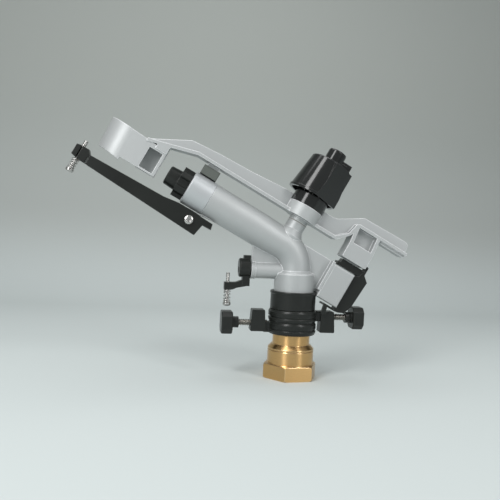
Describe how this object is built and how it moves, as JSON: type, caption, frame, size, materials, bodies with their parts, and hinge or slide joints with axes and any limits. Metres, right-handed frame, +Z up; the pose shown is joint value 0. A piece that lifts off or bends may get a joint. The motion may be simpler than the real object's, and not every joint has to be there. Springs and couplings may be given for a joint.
{
  "type": "impact sprinkler",
  "caption": "Part-circle impact sprinkler gun with brass threaded inlet, adjustable stops, swinging drive arm, angled barrel, jet breaker and auxiliary nozzle.",
  "frame": {"origin": "centre of the inlet's mouth, on the riser axis", "axes": "+Z up the riser axis, the jet leaves towards -X at 28 degrees, +Y across the sprinkler"},
  "size_m": [0.3886, 0.0598, 0.2811],
  "materials": {
    "brass": "machined, satin",
    "cast_aluminium": "die-cast and lightly polished, satin",
    "turned_aluminium": "turned, satin",
    "black_nylon": "glass-filled nylon, semi-matt",
    "gloss_black_cover": "moulded, glossy",
    "white_acetal": "acetal, natural",
    "black_rubber": "moulded, matt",
    "stainless_steel": "bright drawn",
    "dark_steel": "blackened steel, rolled thread"
  },
  "bodies": {
    "inlet": {"inlet_fitting": "brass", "inlet_sleeve": "brass", "wear_washer": "white_acetal", "seal_washer": "black_rubber", "bearing_housing": "black_nylon", "pressure_spring": "stainless_steel"},
    "head": {"swivel_tube": "brass", "friction_washer": "white_acetal", "body_casting": "cast_aluminium", "stream_straightener": "white_acetal", "nozzle_gasket": "black_rubber", "nozzle_insert": "black_nylon", "nozzle_ring": "turned_aluminium", "breaker_bolt": "stainless_steel", "breaker_nut": "stainless_steel", "aux_nozzle": "black_nylon", "pivot_shaft": "stainless_steel", "thrust_washer": "white_acetal", "spring_cover": "gloss_black_cover", "arm_spring": "stainless_steel", "trip_housing": "cast_aluminium", "trip_housing_cover": "cast_aluminium", "trip_pin": "stainless_steel"},
    "lower_stop": {"lower_stop_ring": "black_nylon", "lower_stop_block": "black_nylon"},
    "upper_stop": {"upper_stop_ring": "black_nylon", "upper_stop_block": "black_nylon"},
    "lower_thumb_screw": {"lower_stop_screw": "dark_steel", "lower_stop_knob": "black_nylon"},
    "upper_thumb_screw": {"upper_stop_screw": "dark_steel", "upper_stop_knob": "black_nylon"},
    "arm": {"arm_casting": "cast_aluminium", "arm_bumper": "black_rubber", "arm_lower_bush": "white_acetal", "arm_upper_bush": "white_acetal", "spring_cup": "gloss_black_cover"},
    "tension_adjuster": {"tension_knob": "gloss_black_cover"},
    "trip": {"trip_lever": "black_nylon"},
    "breaker": {"breaker_lever": "black_nylon"},
    "breaker_adjuster": {"breaker_screw": "stainless_steel", "breaker_spring": "stainless_steel"},
    "aux_adjuster": {"aux_screw": "stainless_steel", "aux_spring": "stainless_steel"}
  },
  "joints": [
    {"name": "head_turn", "type": "hinge", "parent": "inlet", "child": "head", "pos_m": [0, 0, 0.06], "axis": [0, 0, 1], "range_deg": [-140, 0]},
    {"name": "lower_stop_turn", "type": "hinge", "parent": "inlet", "child": "lower_stop", "pos_m": [0, 0, 0.057], "axis": [0, 0, 1], "range_deg": [-60, 0]},
    {"name": "upper_stop_turn", "type": "hinge", "parent": "inlet", "child": "upper_stop", "pos_m": [0, 0, 0.07], "axis": [0, 0, 1], "range_deg": [0, 60]},
    {"name": "lower_thumb_screw_turn", "type": "hinge", "parent": "lower_stop", "child": "lower_thumb_screw", "pos_m": [-0.06, 0, 0.0608], "axis": [-1, 0, 0], "range_deg": [-180, 180]},
    {"name": "upper_thumb_screw_turn", "type": "hinge", "parent": "upper_stop", "child": "upper_thumb_screw", "pos_m": [0.06, 0, 0.0695], "axis": [1, 0, 0], "range_deg": [-180, 180]},
    {"name": "arm_swing", "type": "hinge", "parent": "head", "child": "arm", "pos_m": [0.00319, 0, 0.18074], "axis": [0.4695, 0, 0.8829], "range_deg": [0, 75], "stiffness_Nm_per_rad": 0.15, "springref_deg": -28.65},
    {"name": "tension_knob_turn", "type": "hinge", "parent": "head", "child": "tension_adjuster", "pos_m": [0.0384, 0, 0.24697], "axis": [0.4695, 0, 0.8829], "continuous": true},
    {"name": "trip_lever_tilt", "type": "hinge", "parent": "head", "child": "trip", "pos_m": [0.06153, 0, 0.09876], "axis": [0.8829, 0, -0.4695], "range_deg": [-12, 0]},
    {"name": "breaker_lever_tilt", "type": "hinge", "parent": "head", "child": "breaker", "pos_m": [-0.12227, 0, 0.1727], "axis": [0, 1, 0], "range_deg": [-4, 3.5]},
    {"name": "breaker_screw_travel", "type": "slide", "parent": "breaker", "child": "breaker_adjuster", "axis": [0.4695, 0, 0.8829], "range_m": [-0.003, 0.003], "deforming": ["breaker_spring"]},
    {"name": "aux_screw_travel", "type": "slide", "parent": "head", "child": "aux_adjuster", "axis": [0, 0, 1], "range_m": [-0.0005, 0.003], "deforming": ["aux_spring"]}
  ]
}
